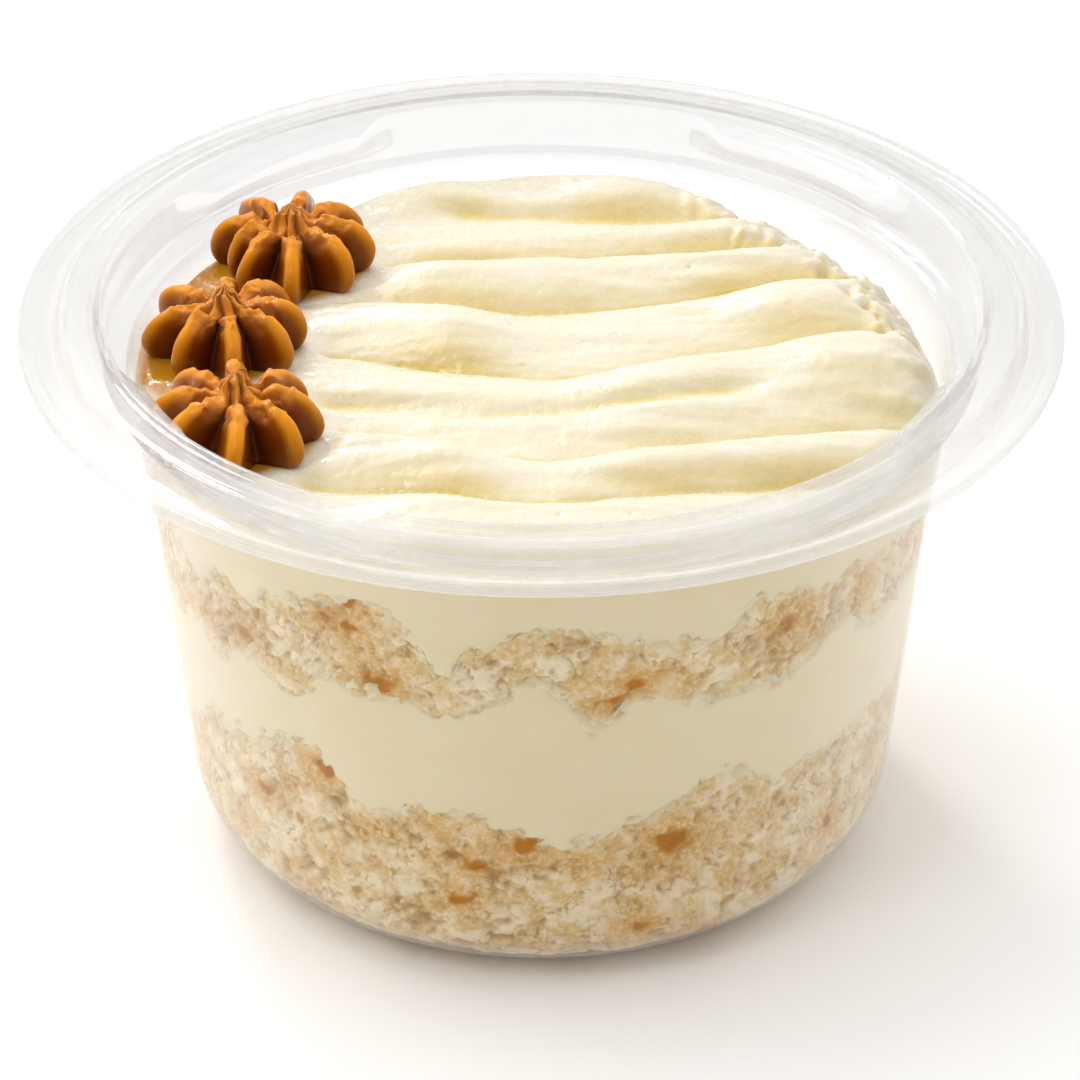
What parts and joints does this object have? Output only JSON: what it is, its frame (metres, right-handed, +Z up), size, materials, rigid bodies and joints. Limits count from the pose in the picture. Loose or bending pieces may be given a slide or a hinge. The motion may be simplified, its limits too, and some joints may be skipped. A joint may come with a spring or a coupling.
{
  "type": "layered tres leches cake in a clear cup",
  "caption": "Single-serving tres leches cake in a clear flanged plastic cup: soaked sponge and cream in layers, a ridged cream top, and piped caramel rosettes along one side.",
  "frame": {"origin": "centre of the cup's base, on the surface that it stands on", "axes": "+Z up out of the cup; the cream's ridges run along X, and the rosettes stand along the -X side; the picture's viewpoint is on -Y"},
  "size_m": [0.117, 0.117, 0.0672],
  "materials": {
    "clear_plastic": "clear thermoformed plastic, glossy",
    "sponge": "open moist crumb, matt, with wet spots and caramel flecks",
    "cream": "satin whipped cream, slightly translucent",
    "caramel": "glossy thick milk caramel, piped"
  },
  "bodies": {
    "root": {"cup": "clear_plastic", "sponge_lower": "sponge", "cream_band": "cream", "sponge_upper": "sponge", "cream_top": "cream", "rosette_1": "caramel", "rosette_2": "caramel", "rosette_3": "caramel"}
  },
  "joints": []
}
